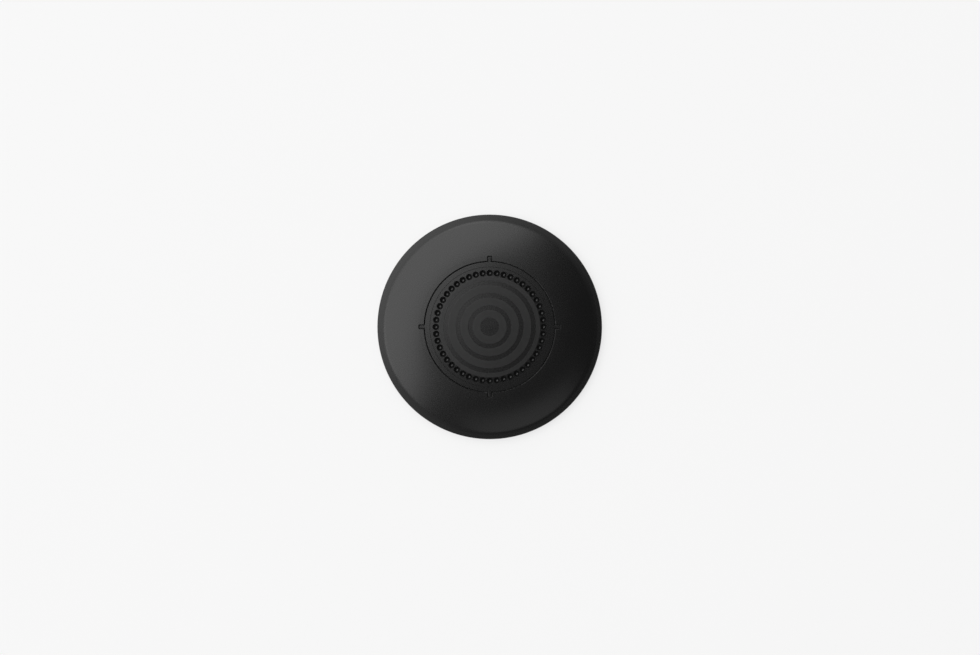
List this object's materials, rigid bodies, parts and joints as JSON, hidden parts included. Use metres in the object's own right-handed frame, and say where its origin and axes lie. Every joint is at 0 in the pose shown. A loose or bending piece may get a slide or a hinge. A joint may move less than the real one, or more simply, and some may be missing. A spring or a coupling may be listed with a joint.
{
  "type": "adhesive magnetic phone patch",
  "caption": "Round low-domed black patch that sticks to a phone's back; a keyed centre plate with a ring of dimples docks to a magnetic holder.",
  "frame": {"origin": "middle of the adhesive face that is stuck to the phone", "axes": "+Z away from the phone through the crowned front; X and Y through the four keys of the centre plate"},
  "size_m": [0.062, 0.062, 0.0055],
  "materials": {
    "cover": "satin black moulded plastic",
    "lock_plate": "satin black moulded plastic with finely textured target rings",
    "magnet": "nickel plated",
    "keeper_plate": "zinc plated sheet steel",
    "base_plate": "matt black moulded plastic",
    "adhesive_pad": "dark grey closed-cell foam tape"
  },
  "bodies": {
    "root": {"cover": "cover", "lock_plate": "lock_plate", "magnet": "magnet", "keeper_plate": "keeper_plate", "base_plate": "base_plate", "adhesive_pad": "adhesive_pad"}
  },
  "joints": []
}
